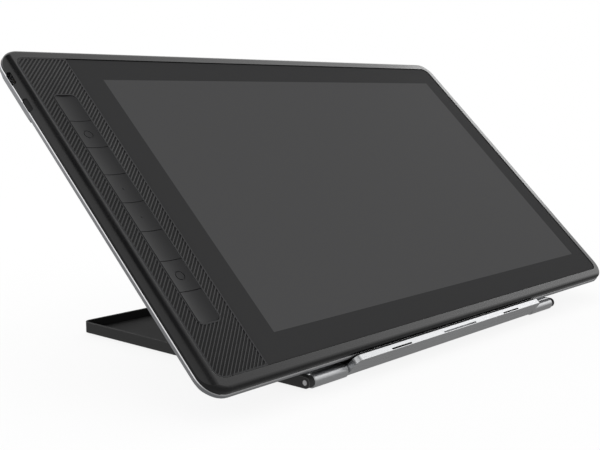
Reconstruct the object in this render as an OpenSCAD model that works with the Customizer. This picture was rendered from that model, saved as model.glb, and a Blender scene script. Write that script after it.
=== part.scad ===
// Pen display: a drawing tablet with a built-in screen, propped on its folding stand.
// Origin: middle of the stand's footprint, on the desk. +X right, +Y away from the user, +Z up.
// The tablet leans back on a plate that turns on two pins at the front of a shallow tray.

/* [Tablet] */
// Width of the tablet over its side walls
tablet_w = 437.4; // [400:0.2:470]
// Height of the tablet, up its face
tablet_h = 247.4; // [230:0.2:280]
// Thickness of the tablet, back to the crest of its rim
tablet_t = 12; // [11.5:0.1:14]
// Radius of the outline's corners
corner_r = 14; // [12:0.5:20]
// Width of the dark rim above, below and right of the glass
rim_w = 7.35; // [6.8:0.05:8]
// Width of the rim left of the key panel
rim_left = 8.4; // [8.2:0.1:10]
// Height of the rim above the glass
rim_rise = 0.5; // [0.3:0.05:0.7]
// Radius of the rim's outer edge
rim_round = 2.6; // [2:0.1:3]
// Radius of the roll down the left side
roll_r = 13; // [12:0.5:16]
// Depth of the dark front frame
frame_h = 4.2; // [3.9:0.1:4.4]
// Width of the bright cut along the cover's front edge
edge_cut = 0.5; // [0.4:0.05:0.7]
// Height of the cover's upright side
side_h = 2.1; // [1.8:0.1:3.2]
// Wall of the back cover
cover_wall = 1.8; // [1.5:0.1:2.2]
// Floor of the back cover
cover_floor = 1.2; // [1:0.1:1.6]
// Thickness of the rubber feet on the back
rear_foot_t = 1; // [0.6:0.1:1.4]
// How far the tablet stands right of the stand's middle
tablet_shift = 0; // [-20:0.5:20]

/* [Screen] */
// Dark border right of the picture
screen_margin = 17.15; // [14:0.05:22]
// Dark border left of the picture
screen_left = 18.55; // [16:0.05:24]
// Dark border above and below the picture
screen_border = 18; // [15:0.1:22]
// Gap round the cover glass
glass_gap = 0.4; // [0.2:0.05:0.5]
// Thickness of the cover glass
glass_t = 1; // [0.8:0.1:1.2]
// Thickness of the clear bonding layer
bond_t = 0.3; // [0.2:0.05:0.4]
// Thickness of the display panel
panel_t = 2.2; // [1.9:0.1:2.4]
// Metal edge of the panel beyond the picture
panel_edge = 3.2; // [2:0.1:4.5]
// Thickness of the pen sensor board
sensor_t = 0.6; // [0.4:0.05:0.8]
// Thickness of the shield behind the sensor
shield_t = 0.3; // [0.2:0.05:0.4]
// Thickness of the inner frame
inner_t = 1; // [0.8:0.1:1.2]

/* [Shortcut keys] */
// Distance from one key to the next
key_pitch = 21; // [18:0.1:23]
// Width of a key
key_w = 14.8; // [12:0.1:17]
// Depth of the dish across a key
key_dish = 0.6; // [0.3:0.05:0.8]
// How far a key goes down
key_travel = 0.6; // [0.4:0.05:0.7]
// Corner radius of the key column
key_corner = 3; // [2:0.1:5]
// Width of the ridged key panel
key_panel_w = 36.35; // [34:0.05:44]
// Thickness of the key panel
key_panel_t = 1.6; // [1.4:0.05:1.7]
// How far the panel's ridged field lies below its edge
ridge_h = 0.25; // [0.15:0.05:0.35]
// How far the key column stands right of the panel's middle
key_shift_x = -0.1; // [-2:0.05:2]
// How far the key column stands above the tablet's middle
key_shift_y = 0.5; // [-6:0.1:6]
// Diameter of the ring mark on two of the keys
ring_d = 6; // [4:0.1:9]

/* [Ports] */
// Distance of the port's middle from the top edge
port_drop = 22.7; // [22.5:0.1:28]
// Distance of the power button's middle from the top edge
button_drop = 44.3; // [42:0.1:50]
// Length of the power button
button_l = 9.6; // [8:0.1:12]
// Depth of the power button from front to back
button_h = 2.3; // [2:0.1:2.4]
// How far the power button goes in
button_travel = 0.5; // [0.3:0.05:0.6]
// How much further down the side wall reaches along the ports
bulge_drop = 0.9; // [0.5:0.05:1.2]

/* [Stand] */
// Lean of the tablet, up from the desk
tilt = 43.6; // [18:0.1:60]
// Width of the stand's tray
base_w = 282.4; // [260:0.2:320]
// Depth of the tray, ears included
base_d = 203.8; // [180:0.2:230]
// Wall of the tray
base_wall = 1.5; // [1.2:0.1:2.4]
// Floor of the tray
base_floor = 1; // [0.8:0.1:1.2]
// Height of the tray's back wall
base_h = 7.2; // [7:0.1:12]
// Thickness of the rubber feet under the tray
foot_t = 1.2; // [1:0.1:2.5]
// Radius of the ears that hold the hinge pins
ear_r = 3.35; // [3.2:0.05:4]
// Thickness of the ears
ear_t = 4; // [3:0.1:6]
// Radius of the hinge pins
pin_r = 1.5; // [1:0.05:1.8]
// Outer radius of the hinge sleeves
sleeve_r = 4.1; // [3.6:0.05:4.2]
// Length of a hinge sleeve
sleeve_l = 29.4; // [22:0.1:36]
// Radius of the hinge tube under the lip
lip_r = 3.5; // [3.2:0.05:3.8]
// Thickness of the lip that the tablet stands on
lip_t = 3.65; // [3:0.05:4.2]
// How far the lip stops short of the glass
lip_setback = 2.2; // [1.5:0.1:4]
// Thickness of the rubber strip on the lip
lip_pad_t = 1.05; // [0.6:0.05:1.4]
// Length of the plate behind the tablet
plate_l = 172; // [150:1:185]
// Thickness of that plate
plate_t = 2; // [1.6:0.1:2.4]
// How far the plate stands in from the tray's sides
plate_inset = 8.5; // [7:0.1:14]
// Thickness of the soft strips on the plate
pad_t = 0.85; // [0.6:0.05:1.2]
// Width of the prop leg
prop_w = 80; // [60:1:110]
// Thickness of the prop leg's sheet
prop_t = 1.6; // [1.2:0.1:2]
// Radius of the prop leg's rolled foot
prop_foot_r = 1.5; // [1.2:0.05:1.6]

/* [Fits] */
// Radial clearance of a turning bore on its pin
run_fit = 0.06; // [0.02:0.01:0.1]
// Radial clearance of a fixed pin or screw
fixed_fit = 0.03; // [0.02:0.01:0.05]
// Clearance round a key or button
slide_gap = 0.25; // [0.15:0.05:0.35]
// Clearance between pieces that rest against each other
seat_gap = 0.15; // [0.1:0.01:0.2]
// Clearance between turning ends along the hinge
end_gap = 0.3; // [0.2:0.05:0.5]

/* [Hidden] */
$fn = 96;
// Overlap of a cut past the face that it opens
eps = 0.5;

// Heights in the tablet, from its back face up to the glass
cover_top = tablet_t - frame_h;
taper = cover_top - edge_cut - side_h;
face_z = tablet_t - rim_rise;
glass_z = face_z - glass_t;
bond_z = glass_z - bond_t;
panel_z = bond_z - panel_t;
sensor_z = panel_z - sensor_t;
shield_z = sensor_z - shield_t;
inner_z = shield_z - inner_t;
// Opening in the front frame that takes the key panel and the glass
open_left = rim_left - tablet_w / 2;
open_right = tablet_w / 2 - rim_w;
open_w = open_right - open_left;
open_h = tablet_h - 2 * rim_w;
open_x = (open_left + open_right) / 2;
open_r = corner_r - rim_w;
split_x = open_left + key_panel_w;
ledge = 3;
part_gap = 0.15;
screen_w = open_right - screen_margin - split_x - screen_left;
screen_h = open_h - 2 * screen_border;
screen_x = open_right - screen_margin - screen_w / 2;
panel_chin = 7;
panel_w = screen_w + 2 * panel_edge;
panel_h = screen_h + panel_edge + panel_chin;
panel_y = (panel_edge - panel_chin) / 2;

// Key panel, keys and the switches under them
key_count = 8;
key_gap = 0.4;
key_x = (open_left + split_x) / 2 + key_shift_x;
key_panel_top = tablet_t - ridge_h;
key_panel_z = key_panel_top - key_panel_t;
key_top = tablet_t;
key_flange_t = 0.5;
key_flange_w = 1.2;
key_flange_z = key_panel_z - seat_gap - key_flange_t;
column_l = key_count * key_pitch - key_gap;
dish_r = (pow(key_w / 2, 2) + pow(key_dish, 2)) / (2 * key_dish);
key_board_t = 0.7;
key_board_w = key_w + 2 * key_flange_w + 4;
dome_top = key_flange_z - key_travel - 0.1;
dome_r = 2.2;
panel_lip_w = 0.9;
ring_line = 0.5;
ring_depth = 0.3;
ring_keys = [2, 7];
dot_keys = [4, 5];
dot_r = 0.6;

// Ports along the left side
port_z = cover_top + 1.05;
socket_w = 8.94;
socket_h = 3.16;
socket_l = 5;
socket_wall = 0.25;
port_slot_w = 10.2;
port_slot_h = 2.8;
port_recess = 3;
port_depth = port_recess + socket_l + 0.1;
port_board_t = 1.2;
port_board_z = port_z - socket_h / 2 - port_board_t;
port_board_l = 11.5;
port_y = tablet_h / 2 - port_drop;
button_y = tablet_h / 2 - button_drop;
port_bay_low = button_y - 12;
port_bay_high = port_y + 9;
left_wall = -tablet_w / 2;
button_flange_t = 0.8;
button_flange_x = left_wall + port_recess;
button_flange_w = 1.5;
button_sunk = 0.25;
switch_x = button_flange_x + button_flange_t + button_travel + seat_gap;

// Screws, bosses and boards
screw_r = 1;
screw_head_r = 1.85;
screw_head_t = 0.7;
boss_r = 3;
screw_x = tablet_w / 2 - 24;
screw_y = tablet_h / 2 - 16;
board_t = 1.2;
board_w = 165;
board_h = 58;
cable_clear = 6;
board_rise = 72;
board_y = board_rise - tablet_h / 2;
board_z = cover_floor + 1.2;
board_post_r = 2;
cable_t = 0.25;
cable_w = 22;
cable_step = 34;
board_x = boss_r + cable_clear + (cable_step + cable_w) / 2;
connector_in = 7;
connector_d = 5;
connector_y = connector_in - board_h / 2;
cable_y = panel_y - panel_h / 2;
cable_bend = 3.5;
connector_h = 1.4;
rear_foot_w = 9;
rear_foot_l = 50;
rear_foot_x = tablet_w / 2 - 40;
rear_foot_y = tablet_h / 2 - 25;

// Stand: the hinge line, then the plate's own frame with the hinge at its origin
hinge_y = ear_r - base_d / 2;
hinge_z = foot_t + ear_r;
base_back = base_d / 2;
base_r = 6;
ear_l = 8;
floor_front = 6.5;
lip_w = base_w - 2 * (ear_t + sleeve_l + 2 * end_gap);
leaf_t = 2;
leaf_l = 20;
plate_w0 = 0.2;
plate_v0 = sleeve_r + 0.7;
plate_w = base_w - 2 * plate_inset;
plate_r = 10;
back_w = plate_w0 + plate_t + pad_t + seat_gap;
lip_in = 0.8;
lip_out = lip_in - lip_t;
lip_front = back_w + face_z - lip_setback;
lip_corner = 4;
lip_bore_l = 13;
lip_slot_t = 1;
lip_slot_d = 2.4;
lip_slot_in = 0.95;
tablet_v = lip_in + lip_pad_t + seat_gap;
sleeve_x = lip_w / 2 + end_gap + sleeve_l / 2;
sleeve_cut = 0.5;
sink_r = 2.4;
sink_t = 1.2;
plate_screw_r = 1.25;
plate_screw_v = 13;
plate_screw_x = [-sleeve_x, -lip_w / 3, 0, lip_w / 3, sleeve_x];

// Prop leg: as long as its pivot is far from the hinge, so its foot moves level as the plate turns
prop_pivot_w = -3.6;
prop_end_gap = 4.5;
prop_l = (base_d - ear_r - base_wall - prop_end_gap) / 2;
prop_lag = asin(-prop_pivot_w / prop_l);
prop_pivot_v = prop_l * cos(prop_lag);
prop_lean = tilt - prop_lag;
lug_t = 4;
lug_r = 2.8;
knuckle_r = 2.4;
prop_slot_w = 24;
prop_slot_l = 48;
notch_tilts = [20, 28, 36, tilt, 52, 60];
notch_reach = [for (a = notch_tilts) 2 * prop_l * cos(a - prop_lag)];
rail_x = 28;
rail_w = 10;
rail_end = 7;
foot_clear = 0.2;
rail_top = hinge_z - prop_foot_r - foot_clear;
notch_d = 0.45;

// Rectangle with rounded corners
module rounded(w, h, r) {
    square([w - 2 * r, h], center = true);
    square([w, h - 2 * r], center = true);
    for (x = [-1, 1], y = [-1, 1])
        translate([x * (w / 2 - r), y * (h / 2 - r)])
            circle(r);
}

// Slot with round ends, long along Y
module pill(l, w) {
    square([w, l - w], center = true);
    for (y = [-1, 1])
        translate([0, y * (l - w) / 2])
            circle(w / 2);
}

// Section drawn in (Y, Z), extruded along X
module along_x(l) {
    rotate([90, 0, 90])
        linear_extrude(l, center = true)
            children();
}

// Outline drawn in (-Z, Y), extruded along X from x to x + l
module from_side(x, l) {
    translate([x, 0, 0])
        rotate([0, 90, 0])
            linear_extrude(l)
                children();
}

// Slab whose edge section, drawn in (distance from a corner's centre, Z), runs round its outline
module edge_slab(w, h, r, z0, z1) {
    run_x = w - 2 * r;
    run_y = h - 2 * r;
    translate([-run_x / 2, -run_y / 2, z0])
        cube([run_x, run_y, z1 - z0]);
    for (turn = [0, 180])
        rotate([0, 0, turn]) {
            translate([run_x / 2, 0, 0])
                rotate([90, 0, 0])
                    linear_extrude(run_y, center = true)
                        children();
            rotate([0, 0, 90])
                translate([run_y / 2, 0, 0])
                    rotate([90, 0, 0])
                        linear_extrude(run_x, center = true)
                            children();
            translate([run_x / 2, run_y / 2, 0])
                rotate_extrude(angle = 90)
                    children();
            translate([-run_x / 2, run_y / 2, 0])
                rotate([0, 0, 90])
                    rotate_extrude(angle = 90)
                        children();
        }
}

// The plate's frame: hinge at the origin, Y up the plate, Z out of its face
module at_hinge() {
    translate([0, hinge_y, hinge_z])
        rotate([tilt, 0, 0])
            children();
}

// The tablet's frame: middle of its back face at the origin, Y up the face, Z out of the glass
module on_tablet() {
    at_hinge()
        translate([tablet_shift, tablet_v + tablet_h / 2, back_w])
            children();
}

// The eight places of the case screws
module at_case_screws() {
    for (x = [-1, 0, 1], y = [-1, 0, 1])
        if (x != 0 || y != 0)
            translate([x * screw_x, y * screw_y, 0])
                children();
}

// The places of the main board's posts
module at_board_posts() {
    for (x = [-1, 1], y = [-1, 1])
        translate([board_x + x * (board_w / 2 - 5), board_y + y * (board_h / 2 - 5), 0])
            children();
}

// Openings in the left side for the port's plug and the power button
module side_slots() {
    translate([0, port_y, port_z])
        from_side(left_wall - eps, port_recess + eps)
            pill(port_slot_w, port_slot_h);
    translate([0, button_y, port_z])
        from_side(left_wall - eps, port_depth + eps)
            pill(button_l + 2 * slide_gap, button_h + 2 * slide_gap);
}

// Seat of the socket behind its opening
module socket_seat() {
    translate([0, port_y, port_z])
        from_side(left_wall + port_recess - seat_gap, port_depth - port_recess + seat_gap)
            pill(socket_w + 2 * fixed_fit, socket_h + 2 * fixed_fit);
}

// Roll down the left side, straight from top to bottom, drawn as deep as its radius
module left_roll(r) {
    crossing = 0.02;
    translate([open_left, 0, tablet_t - roll_r + crossing])
        rotate([90, 0, 0])
            linear_extrude(2 * tablet_h, center = true)
                circle(r);
}

// Room behind the left side for the button's flange and its travel
module button_bay() {
    bay_l = button_l + 2 * button_flange_w + 2 * slide_gap;
    bay_h = button_h + 2 * slide_gap;
    bay_d = switch_x - button_flange_x + seat_gap;
    translate([button_flange_x - seat_gap, button_y - bay_l / 2, port_z - bay_h / 2])
        cube([bay_d, bay_l, bay_h]);
}

// Deeper side wall along the ports, between two sloped ends
module port_bulge() {
    root = cover_wall / 2;
    slope_l = 3.4;
    low = button_y - button_l / 2 - slope_l;
    high = min(port_y + port_slot_w / 2 + slope_l, tablet_h / 2 - corner_r - part_gap);
    intersection() {
        translate([0, (low + high) / 2, 0])
            rotate([90, 0, 0])
                linear_extrude(high - low, center = true)
                    polygon([
                        [left_wall, taper + root],
                        [left_wall, taper - bulge_drop],
                        [left_wall + taper - bulge_drop, 0],
                        [left_wall + taper + root, 0],
                        [left_wall + root, taper],
                        [left_wall + root, taper + root]
                    ]);
        translate([left_wall, 0, 0])
            along_x(4 * taper)
                polygon([
                    [low, taper + root],
                    [low, taper],
                    [low + slope_l, taper - bulge_drop],
                    [low + slope_l, -eps],
                    [high - slope_l, -eps],
                    [high - slope_l, taper - bulge_drop],
                    [high, taper],
                    [high, taper + root]
                ]);
    }
}

// Pressed aluminium tray with a tapered back and a bright cut along its front edge
module back_cover() {
    slant = cover_wall * sqrt(2);
    color("darkgray") on_tablet() difference() {
        union() {
            difference() {
                edge_slab(tablet_w, tablet_h, corner_r, 0, cover_top)
                    polygon([
                        [0, 0],
                        [corner_r - taper, 0],
                        [corner_r, taper],
                        [corner_r, taper + side_h],
                        [corner_r - edge_cut, cover_top],
                        [0, cover_top]
                    ]);
                edge_slab(tablet_w, tablet_h, corner_r, cover_floor, cover_top + eps)
                    polygon([
                        [0, cover_floor],
                        [corner_r - taper + cover_floor - slant, cover_floor],
                        [corner_r - cover_wall, taper + slant - cover_wall],
                        [corner_r - cover_wall, cover_top + eps],
                        [0, cover_top + eps]
                    ]);
            }
            at_case_screws()
                translate([0, 0, cover_floor])
                    cylinder(r = boss_r, h = inner_z - cover_floor);
            at_board_posts()
                translate([0, 0, cover_floor])
                    cylinder(r = board_post_r, h = board_z - cover_floor);
            for (y = [button_y, port_y])
                translate([left_wall + port_board_l, y, cover_floor])
                    cylinder(r = board_post_r, h = port_board_z - cover_floor);
            port_bulge();
        }
        at_case_screws() {
            translate([0, 0, -eps])
                cylinder(r = screw_r + fixed_fit, h = tablet_t);
            translate([0, 0, -eps])
                cylinder(r = screw_head_r + fixed_fit, h = screw_head_t + eps);
        }
        side_slots();
    }
}

// Moulded black frame: rim with a rolled left side, ledges round the glass, skirt inside the cover
module front_frame() {
    edge_x = corner_r - edge_cut;
    skirt_in = cover_wall + slide_gap;
    skirt_t = 1.2;
    color("#3a3a3c") on_tablet() difference() {
        union() {
            edge_slab(tablet_w, tablet_h, corner_r, cover_top, tablet_t) {
                translate([0, cover_top])
                    square([edge_x - rim_round, frame_h]);
                translate([0, cover_top])
                    square([edge_x, frame_h - rim_round]);
                translate([edge_x - rim_round, tablet_t - rim_round])
                    intersection() {
                        circle(rim_round);
                        square(rim_round);
                    }
            }
            translate([0, 0, shield_z])
                linear_extrude(cover_top - shield_z)
                    rounded(tablet_w - 2 * skirt_in, tablet_h - 2 * skirt_in, corner_r - skirt_in);
        }
        // Space inside the skirt
        translate([0, 0, shield_z - eps])
            linear_extrude(cover_top - shield_z + eps)
                rounded(
                    tablet_w - 2 * (skirt_in + skirt_t),
                    tablet_h - 2 * (skirt_in + skirt_t),
                    corner_r - skirt_in - skirt_t
                );
        // Roll down the left side
        difference() {
            translate([open_left - roll_r, -tablet_h, cover_top + eps])
                cube([roll_r, 2 * tablet_h, frame_h]);
            left_roll(roll_r);
        }
        // Seat of the glass, with its ledge
        translate([0, 0, glass_z])
            linear_extrude(frame_h)
                intersection() {
                    translate([open_x, 0])
                        rounded(open_w, open_h, open_r);
                    translate([split_x, -tablet_h / 2])
                        square([tablet_w, tablet_h]);
                }
        translate([split_x + ledge, ledge - open_h / 2, cover_top - eps])
            cube([open_right - split_x - 2 * ledge, open_h - 2 * ledge, frame_h + 2 * eps]);
        // Seat of the key panel, with its ledge
        translate([0, 0, key_panel_z])
            linear_extrude(frame_h)
                intersection() {
                    translate([open_x, 0])
                        rounded(open_w, open_h, open_r);
                    translate([split_x - tablet_w, -tablet_h / 2])
                        square([tablet_w, tablet_h]);
                }
        translate([open_left + ledge, ledge - open_h / 2, cover_top - eps])
            cube([key_panel_w - 2 * ledge, open_h - 2 * ledge, frame_h + 2 * eps]);
        side_slots();
        socket_seat();
        button_bay();
    }
}

// Etched cover glass, with its dark border printed underneath
module cover_glass() {
    color("#38383a") on_tablet()
        translate([0, 0, glass_z])
            linear_extrude(glass_t)
                intersection() {
                    translate([open_x, 0])
                        rounded(open_w - 2 * glass_gap, open_h - 2 * glass_gap, open_r - glass_gap);
                    translate([split_x + part_gap, -tablet_h / 2])
                        square([tablet_w, tablet_h]);
                }
}

// Sheet of the display stack, as large as the panel
module stack_sheet(z, t) {
    on_tablet()
        translate([screen_x - panel_w / 2, panel_y - panel_h / 2, z])
            cube([panel_w, panel_h, t]);
}

// Clear adhesive that bonds the glass to the panel
module bonding_layer() {
    color("lightgray") stack_sheet(bond_z, bond_t);
}

// Flat display module with its metal edge
module display_panel() {
    color("dimgray") stack_sheet(panel_z, panel_t);
}

// Board with the pen's sensing loops
module pen_sensor() {
    color("darkgreen") stack_sheet(sensor_z, sensor_t);
}

// Steel sheet that screens the sensor from the boards
module sensor_shield() {
    color("silver") stack_sheet(shield_z, shield_t);
}

// Stamped frame that carries the display, the key board and the front frame's skirt
module inner_frame() {
    inset = cover_wall + slide_gap;
    slot_l = cable_step + cable_w + 4;
    color("gray") on_tablet()
        difference() {
            translate([0, 0, inner_z])
                linear_extrude(inner_t)
                    rounded(tablet_w - 2 * inset, tablet_h - 2 * inset, corner_r - inset);
            at_case_screws()
                cylinder(r = screw_r + fixed_fit, h = tablet_t);
            translate([board_x - slot_l / 2, cable_y - cable_bend - 1, 0])
                cube([slot_l, 2, tablet_t]);
            translate([left_wall, port_bay_low, 0])
                cube([port_board_l + 4, port_bay_high - port_bay_low, tablet_t]);
        }
}

// Control board on its posts, with its chips and the two cable connectors
module main_board() {
    color("#1f5a32") on_tablet() {
        translate([board_x - board_w / 2, board_y - board_h / 2, board_z])
            cube([board_w, board_h, board_t]);
        for (x = [-50, -16, 44])
            translate([board_x + x - 8, board_y + 2, board_z + board_t])
                cube([16, 16, 1.2]);
        for (x = [-1, 1])
            translate([board_x + (x * cable_step - cable_w) / 2, board_y + connector_y, board_z + board_t])
                cube([cable_w, connector_d, connector_h]);
    }
}

// Small board behind the left side, with the switch of the power button
module port_board() {
    board_x0 = left_wall + cover_wall + 1.6;
    switch_w = 6;
    switch_l = 3.5;
    color("#1f5a32") on_tablet() {
        translate([board_x0, port_bay_low + 2, port_board_z])
            cube([port_board_l, port_bay_high - port_bay_low - 4, port_board_t]);
        translate([switch_x, button_y - switch_w / 2, port_board_z + port_board_t])
            cube([switch_l, switch_w, (socket_h + button_h) / 2]);
    }
}

// Shell of the socket with its tongue, open to the left
module usb_socket() {
    tongue_w = 6.7;
    tongue_t = 0.7;
    x0 = left_wall + port_recess;
    color("silver") on_tablet()
        translate([0, port_y, port_z]) {
            difference() {
                from_side(x0, socket_l)
                    pill(socket_w, socket_h);
                from_side(x0 - eps, socket_l - 0.5 + eps)
                    pill(socket_w - 2 * socket_wall, socket_h - 2 * socket_wall);
            }
            translate([x0 + 0.8, -tongue_w / 2, -tongue_t / 2])
                cube([socket_l - 1, tongue_w, tongue_t]);
        }
}

// Flat cable from an edge at height z, through the inner frame's slot, to its connector
module ribbon(x, z) {
    low_z = board_z + board_t + connector_h;
    end_y = board_y + connector_y + connector_d - 1;
    turn_y = cable_y - cable_bend;
    on_tablet()
        translate([x, 0, 0])
            along_x(cable_w)
                polygon([
                    [cable_y, z],
                    [cable_y, z + cable_t],
                    [turn_y - cable_t, z + cable_t],
                    [turn_y - cable_t, low_z],
                    [end_y, low_z],
                    [end_y, low_z + cable_t],
                    [turn_y, low_z + cable_t],
                    [turn_y, z]
                ]);
}

// Cable of the display panel
module panel_cable() {
    color("sienna") ribbon(board_x - cable_step / 2, panel_z + panel_t / 2);
}

// Cable of the pen sensor
module sensor_cable() {
    color("sienna") ribbon(board_x + cable_step / 2, sensor_z + (sensor_t - cable_t) / 2);
}

// Outline of the key panel, set in from its seat
module panel_outline(inset) {
    intersection() {
        translate([open_x, 0])
            rounded(open_w - 2 * inset, open_h - 2 * inset, open_r - inset);
        translate([split_x - inset - tablet_w, -tablet_h / 2])
            square([tablet_w, tablet_h]);
    }
}

// Moulded panel round the key column; its diagonal ridges stand on the field inside its smooth lips
module key_panel() {
    slot_w = key_w + 2 * slide_gap;
    slot_l = column_l + 2 * slide_gap;
    slot_r = key_corner + slide_gap;
    color("#333335") on_tablet()
        difference() {
            translate([0, 0, key_panel_z])
                linear_extrude(tablet_t - key_panel_z)
                    panel_outline(part_gap);
            translate([0, 0, key_panel_top])
                linear_extrude(tablet_t)
                    difference() {
                        panel_outline(part_gap + panel_lip_w);
                        translate([key_x, key_shift_y])
                            rounded(slot_w + 2 * panel_lip_w, slot_l + 2 * panel_lip_w, slot_r + panel_lip_w);
                    }
            translate([key_x, key_shift_y, key_panel_z - eps])
                linear_extrude(tablet_t)
                    rounded(slot_w, slot_l, slot_r);
        }
}

// Board under the keys
module key_board() {
    color("#1f5a32") on_tablet()
        translate([key_x - key_board_w / 2, key_shift_y - column_l / 2, shield_z])
            cube([key_board_w, column_l, key_board_t]);
}

// Snap domes, one under each key
module key_domes() {
    dome_z = shield_z + key_board_t;
    color("silver") on_tablet()
        for (i = [1 : key_count])
            translate([key_x, key_y(i), dome_z])
                cylinder(r1 = dome_r, r2 = dome_r / 2, h = dome_top - dome_z);
}

// Height of a key's middle, counted from the top of the column
function key_y(i) = key_shift_y + ((key_count + 1) / 2 - i) * key_pitch;

// Dished key; the column's end keys take its round corners, and a flange holds each under the panel
module shortcut_key(i) {
    dish_z = key_top - key_dish;
    key_l = key_pitch - key_gap;
    color("#404042") on_tablet()
        translate([key_x, 0, 0])
            difference() {
                union() {
                    intersection() {
                        translate([0, key_shift_y, key_flange_z])
                            linear_extrude(key_top - key_flange_z)
                                rounded(key_w, column_l, key_corner);
                        translate([-key_w, key_y(i) - key_l / 2, key_flange_z])
                            cube([2 * key_w, key_l, tablet_t]);
                    }
                    translate([-key_w / 2 - key_flange_w, key_y(i) - key_l / 2 + key_corner, key_flange_z])
                        cube([key_w + 2 * key_flange_w, key_l - 2 * key_corner, key_flange_t]);
                }
                difference() {
                    translate([0, key_y(i), dish_z + dish_r])
                        rotate([90, 0, 0])
                            cylinder(r = dish_r, h = key_pitch, center = true, $fn = 360);
                    if (len(search(i, dot_keys)) > 0)
                        translate([0, key_y(i), 0])
                            cylinder(r = dot_r, h = dish_z + 0.2);
                }
                if (len(search(i, ring_keys)) > 0)
                    translate([0, key_y(i), dish_z - ring_depth])
                        difference() {
                            cylinder(d = ring_d, h = tablet_t);
                            cylinder(d = ring_d - 2 * ring_line, h = tablet_t);
                        }
            }
}

// Power button whose face follows the roll; the flange behind the side keeps it in
module power_button() {
    face_x = left_wall + edge_cut + button_sunk;
    flange_l = button_l + 2 * button_flange_w;
    color("#2c2c2e") on_tablet() {
        intersection() {
            translate([0, button_y, port_z])
                from_side(face_x, button_flange_x + button_flange_t - face_x)
                    pill(button_l, button_h);
            left_roll(roll_r - button_sunk);
        }
        translate([button_flange_x, button_y - flange_l / 2, port_z - button_h / 2])
            cube([button_flange_t, flange_l, button_h]);
    }
}

// Rubber feet on the tablet's back
module rear_feet() {
    color("#222222") on_tablet()
        for (x = [-1, 1], y = [-1, 1])
            translate([x * rear_foot_x, y * rear_foot_y, -rear_foot_t])
                rotate([0, 0, 90])
                    linear_extrude(rear_foot_t)
                        pill(rear_foot_l, rear_foot_w);
}

// Screws that hold the cover to the inner frame
module case_screws() {
    sunk = 0.1;
    color("silver") on_tablet()
        at_case_screws() {
            translate([0, 0, sunk])
                cylinder(r = screw_head_r, h = screw_head_t - sunk);
            translate([0, 0, sunk])
                cylinder(r = screw_r, h = shield_z - 2 * sunk);
        }
}

// Shallow black tray: side walls rise to the back, and their front ends are the hinge ears
module base_tray() {
    inner_x = base_w / 2 - base_wall;
    ear_x = base_w / 2 - ear_t;
    floor_z = foot_t + base_floor;
    color("#2e2e30") difference() {
        intersection() {
            along_x(base_w) {
                translate([hinge_y, hinge_z])
                    circle(ear_r);
                polygon([
                    [hinge_y, foot_t],
                    [base_back, foot_t],
                    [base_back, foot_t + base_h],
                    [hinge_y, foot_t + 2 * ear_r]
                ]);
            }
            linear_extrude(2 * base_h + foot_t) {
                translate([0, -base_r])
                    square([base_w, base_d], center = true);
                rounded(base_w, base_d, base_r);
            }
        }
        // Inside of the tray
        translate([0, 0, floor_z])
            linear_extrude(2 * base_h)
                intersection() {
                    rounded(2 * inner_x, base_d - 2 * base_wall, base_r - base_wall);
                    translate([-base_w, hinge_y + ear_l])
                        square([2 * base_w, base_d]);
                }
        // Gap between the ears for the sleeves and the lip
        translate([-ear_x, hinge_y - base_d, 0])
            cube([2 * ear_x, base_d + floor_front, 4 * base_h]);
        translate([-ear_x, hinge_y, floor_z])
            cube([2 * ear_x, 2 * ear_l, 4 * base_h]);
        translate([0, hinge_y, hinge_z])
            along_x(base_w + 2 * eps)
                circle(pin_r + fixed_fit);
    }
}

// Rubber feet under the tray: a strip near each corner, and a round one under the rails
module base_feet() {
    foot_l = 40;
    foot_w = 9;
    middle_r = 8;
    inset_x = 30;
    inset_y = 18;
    color("#222222") {
        for (x = [-1, 1], y = [-1, 1])
            translate([x * (base_w / 2 - inset_x), y * (base_back - inset_y), 0])
                rotate([0, 0, 90])
                    linear_extrude(foot_t)
                        pill(foot_l, foot_w);
        cylinder(r = middle_r, h = foot_t);
    }
}

// Rails on the tray's floor, with one notch for each lean that the prop leg's foot can take
module notch_rails() {
    floor_z = foot_t + base_floor;
    near = hinge_y + min(notch_reach) - rail_end;
    far = hinge_y + max(notch_reach) + rail_end;
    color("#2e2e30") difference() {
        for (x = [-1, 1])
            translate([x * rail_x - rail_w / 2, near, floor_z])
                cube([rail_w, far - near, rail_top - floor_z]);
        for (reach = notch_reach)
            translate([0, hinge_y + reach, rail_top + prop_foot_r - notch_d])
                along_x(base_w)
                    circle(prop_foot_r);
    }
}

// Steel pin through an ear and its sleeve into the lip; side is -1 on the left, 1 on the right
module hinge_pin(side) {
    proud = 0.2;
    pin_l = base_w / 2 + proud - lip_w / 2 + lip_bore_l - end_gap;
    color("silver")
        translate([side * (base_w / 2 + proud - pin_l / 2), hinge_y, hinge_z])
            along_x(pin_l)
                circle(pin_r);
}

// Leaf under the plate's lower edge, joined to the tube at the hinge
module hinge_leaf(l, r) {
    along_x(l) {
        circle(r);
        translate([0, plate_w0 - leaf_t])
            square([leaf_l, leaf_t]);
    }
}

// Holes in the leaves for the plate's screws
module leaf_holes() {
    for (x = plate_screw_x)
        translate([x, plate_screw_v, plate_w0 - leaf_t - eps])
            cylinder(r = plate_screw_r + fixed_fit, h = leaf_t + 2 * eps);
}

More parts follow.
